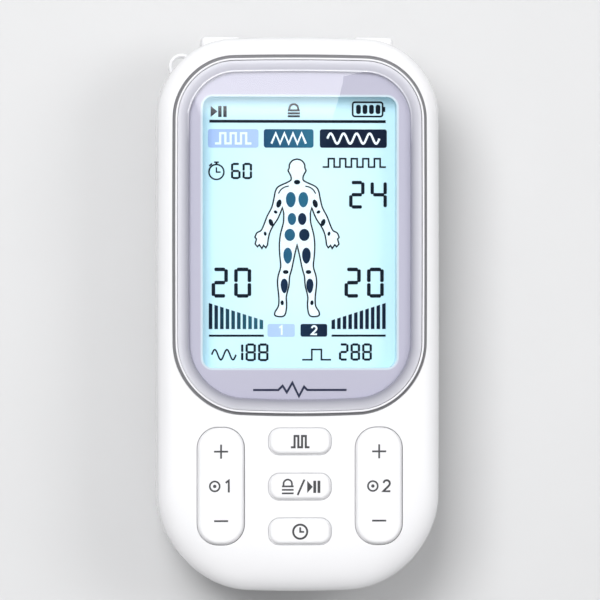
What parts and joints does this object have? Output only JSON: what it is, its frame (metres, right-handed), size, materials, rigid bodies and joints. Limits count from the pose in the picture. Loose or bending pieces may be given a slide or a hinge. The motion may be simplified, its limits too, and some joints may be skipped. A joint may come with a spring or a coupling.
{
  "type": "handheld tens unit",
  "caption": "Slim white handheld nerve and muscle stimulator with a large display window, push keys, rocker keys, output sockets in its top end and a belt clip.",
  "frame": {"origin": "centre of the overall box on the plane that the belt clip rests on, with the unit lying on its back", "axes": "+Z out of the display, +Y along the unit towards its output sockets, +X across it"},
  "size_m": [0.0604, 0.1188, 0.0293],
  "materials": {
    "shell_white": "glossy moulded white",
    "key_white": "satin white key caps",
    "jack_white": "satin white",
    "bezel_silver": "bright trim",
    "window_clear": "clear lens with a lilac-grey printed border",
    "tape_black": "matt adhesive foam",
    "display_glass": "backlit pale cyan",
    "frame_plastic": "plain moulded",
    "diffuser": "milky clear",
    "led_strip": "phosphor yellow",
    "film_amber": "amber film",
    "board_green": "solder mask",
    "switch_steel": "stamped",
    "stem_black": "plain",
    "chip_black": "moulded epoxy",
    "ferrite": "matt grey",
    "connector_nylon": "plain",
    "capacitor_sleeve": "sleeved can",
    "contact_metal": "plated",
    "steel": "zinc plated",
    "socket_steel": "bright",
    "slider_grey": "fine texture",
    "battery_pouch": "laminated pouch",
    "lead_red": "insulation",
    "lead_black": "insulation",
    "clip_white": "glossy moulded white",
    "spring_steel": "wire"
  },
  "bodies": {
    "housing": {"front_shell": "shell_white", "rear_shell": "shell_white", "bezel_ring": "bezel_silver", "window_tape": "tape_black", "display_window": "window_clear", "lcd_panel": "display_glass", "lcd_frame": "frame_plastic", "light_guide": "diffuser", "backlight_strip": "led_strip", "lcd_ribbon": "film_amber", "circuit_board": "board_green", "key_carrier": "frame_plastic", "controller_chip": "chip_black", "charger_chip": "chip_black", "buzzer": "chip_black", "boost_inductor": "ferrite", "boost_capacitor": "capacitor_sleeve", "pulse_transformer_1": "ferrite", "pulse_transformer_2": "ferrite", "battery_plug": "connector_nylon", "battery_cell": "battery_pouch", "battery_pad": "tape_black", "battery_lead_red": "lead_red", "battery_lead_black": "lead_black", "output_jack_1": "jack_white", "output_jack_2": "jack_white", "jack_pin_1": "contact_metal", "jack_pin_2": "contact_metal", "jack_spring_1": "contact_metal", "jack_spring_2": "contact_metal", "usb_socket": "socket_steel", "usb_tongue": "stem_black", "power_switch": "switch_steel", "case_screw_1": "steel", "case_screw_2": "steel", "case_screw_3": "steel", "case_screw_4": "steel", "clip_pin": "steel", "clip_spring": "spring_steel", "mode_switch": "switch_steel", "pause_switch": "switch_steel", "timer_switch": "switch_steel", "channel_1_plus_switch": "switch_steel", "channel_1_minus_switch": "switch_steel", "channel_2_plus_switch": "switch_steel", "channel_2_minus_switch": "switch_steel"},
    "mode_button": {"mode_key": "key_white", "mode_stem": "stem_black"},
    "pause_button": {"pause_key": "key_white", "pause_stem": "stem_black"},
    "timer_button": {"timer_key": "key_white", "timer_stem": "stem_black"},
    "channel_1_rocker": {"channel_1_key": "key_white", "channel_1_plus_stem": "stem_black", "channel_1_minus_stem": "stem_black"},
    "channel_2_rocker": {"channel_2_key": "key_white", "channel_2_plus_stem": "stem_black", "channel_2_minus_stem": "stem_black"},
    "power_slide_knob": {"power_slider": "slider_grey"},
    "belt_clip_arm": {"belt_clip": "clip_white"}
  },
  "joints": [
    {"name": "mode_press", "type": "slide", "parent": "housing", "child": "mode_button", "axis": [0, 0, -1], "range_m": [0, 0.0003], "stiffness_N_per_m": 2500},
    {"name": "pause_press", "type": "slide", "parent": "housing", "child": "pause_button", "axis": [0, 0, -1], "range_m": [0, 0.0003], "stiffness_N_per_m": 2500},
    {"name": "timer_press", "type": "slide", "parent": "housing", "child": "timer_button", "axis": [0, 0, -1], "range_m": [0, 0.0003], "stiffness_N_per_m": 2500},
    {"name": "channel_1_rock", "type": "hinge", "parent": "housing", "child": "channel_1_rocker", "pos_m": [-0.0169, -0.0368, 0.025], "axis": [1, 0, 0], "range_deg": [-1.4, 1.4], "stiffness_Nm_per_rad": 0.35},
    {"name": "channel_2_rock", "type": "hinge", "parent": "housing", "child": "channel_2_rocker", "pos_m": [0.0169, -0.0368, 0.025], "axis": [1, 0, 0], "range_deg": [-1.4, 1.4], "stiffness_Nm_per_rad": 0.35},
    {"name": "power_slide", "type": "slide", "parent": "housing", "child": "power_slide_knob", "axis": [0, 1, 0], "range_m": [0, 0.0024]},
    {"name": "clip_open", "type": "hinge", "parent": "housing", "child": "belt_clip_arm", "pos_m": [0, 0.028, 0.005], "axis": [1, 0, 0], "range_deg": [0, 25], "stiffness_Nm_per_rad": 0.2, "springref_deg": -20.05}
  ]
}
